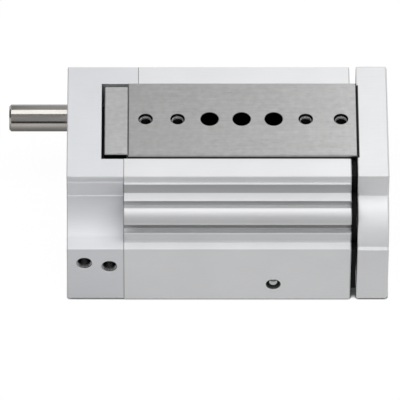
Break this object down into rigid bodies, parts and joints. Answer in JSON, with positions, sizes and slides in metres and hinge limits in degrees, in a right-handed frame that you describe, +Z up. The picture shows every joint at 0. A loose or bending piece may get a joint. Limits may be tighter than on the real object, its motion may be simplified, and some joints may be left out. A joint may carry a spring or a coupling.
{
  "type": "pneumatic slide table",
  "caption": "Compact pneumatic slide: ground steel table on caged balls in an aluminium housing, with side cylinder, yoke plate, clamping rod and rear port cap.",
  "frame": {"origin": "middle of the underside of the body, half way along cap and housing together and half way across", "axes": "+X along the stroke, towards the yoke; +Z up, out of the table; +Y across, away from the cylinder side"},
  "size_m": [0.2375, 0.1186, 0.088],
  "materials": {
    "housing_aluminium": "clear anodised extrusion, satin, fine lines along the stroke",
    "cap_aluminium": "machined and clear anodised, satin",
    "yoke_aluminium": "machined and clear anodised, satin",
    "bearing_aluminium": "turned and anodised",
    "piston_aluminium": "turned",
    "table_steel": "ground along the stroke",
    "end_block_steel": "milled",
    "rod_steel": "hard chromed and ground",
    "rail_steel": "hardened and ground",
    "ball_steel": "polished",
    "sleeve_steel": "turned",
    "ring_steel": "phosphated spring steel",
    "plug_steel": "polished ball",
    "screw_steel": "zinc plated",
    "screw_black": "black oxide",
    "dowel_steel": "ground",
    "bush_bronze": "sintered bronze",
    "cage_plastic": "natural acetal",
    "cover_plastic": "black moulded plastic",
    "magnet_plastic": "plastic-bonded magnet",
    "seal_rubber": "nitrile rubber",
    "cushion_rubber": "elastic polyurethane"
  },
  "bodies": {
    "fixed_body": {"housing": "housing_aluminium", "rear_cap": "cap_aluminium", "cap_screws": "screw_steel", "front_cover": "cover_plastic", "cover_screws": "screw_black", "guide_rail_near": "rail_steel", "guide_rail_far": "rail_steel", "bearing_cap": "bearing_aluminium", "bearing_cap_seal": "seal_rubber", "rod_bush": "bush_bronze", "rod_seal": "seal_rubber", "retaining_ring": "ring_steel", "spigot_seal": "seal_rubber", "rear_cushion": "cushion_rubber", "front_cushion": "cushion_rubber", "clamping_sleeve": "sleeve_steel", "clamping_rod_wiper": "seal_rubber", "clamping_rod_bush": "bush_bronze", "bore_plug": "plug_steel"},
    "moving_table": {"table": "table_steel", "table_end_block": "end_block_steel", "end_block_screws": "screw_steel", "yoke_plate": "yoke_aluminium", "yoke_screws": "screw_steel", "yoke_dowels": "dowel_steel", "piston_rod": "rod_steel", "piston": "piston_aluminium", "piston_seals": "seal_rubber", "piston_magnet": "magnet_plastic", "clamping_rod": "rod_steel", "rod_screws": "screw_steel"},
    "ball_cages": {"ball_cage_near": "cage_plastic", "ball_cage_far": "cage_plastic", "guide_balls_near": "ball_steel", "guide_balls_far": "ball_steel"}
  },
  "joints": [
    {"name": "table_stroke", "type": "slide", "parent": "fixed_body", "child": "moving_table", "axis": [1, 0, 0], "range_m": [0, 0.05]},
    {"name": "cage_travel", "type": "slide", "parent": "fixed_body", "child": "ball_cages", "axis": [1, 0, 0], "range_m": [0, 0.025]}
  ],
  "couplings": [
    {"joint": "cage_travel", "follows": "table_stroke", "ratio": 0.5}
  ]
}
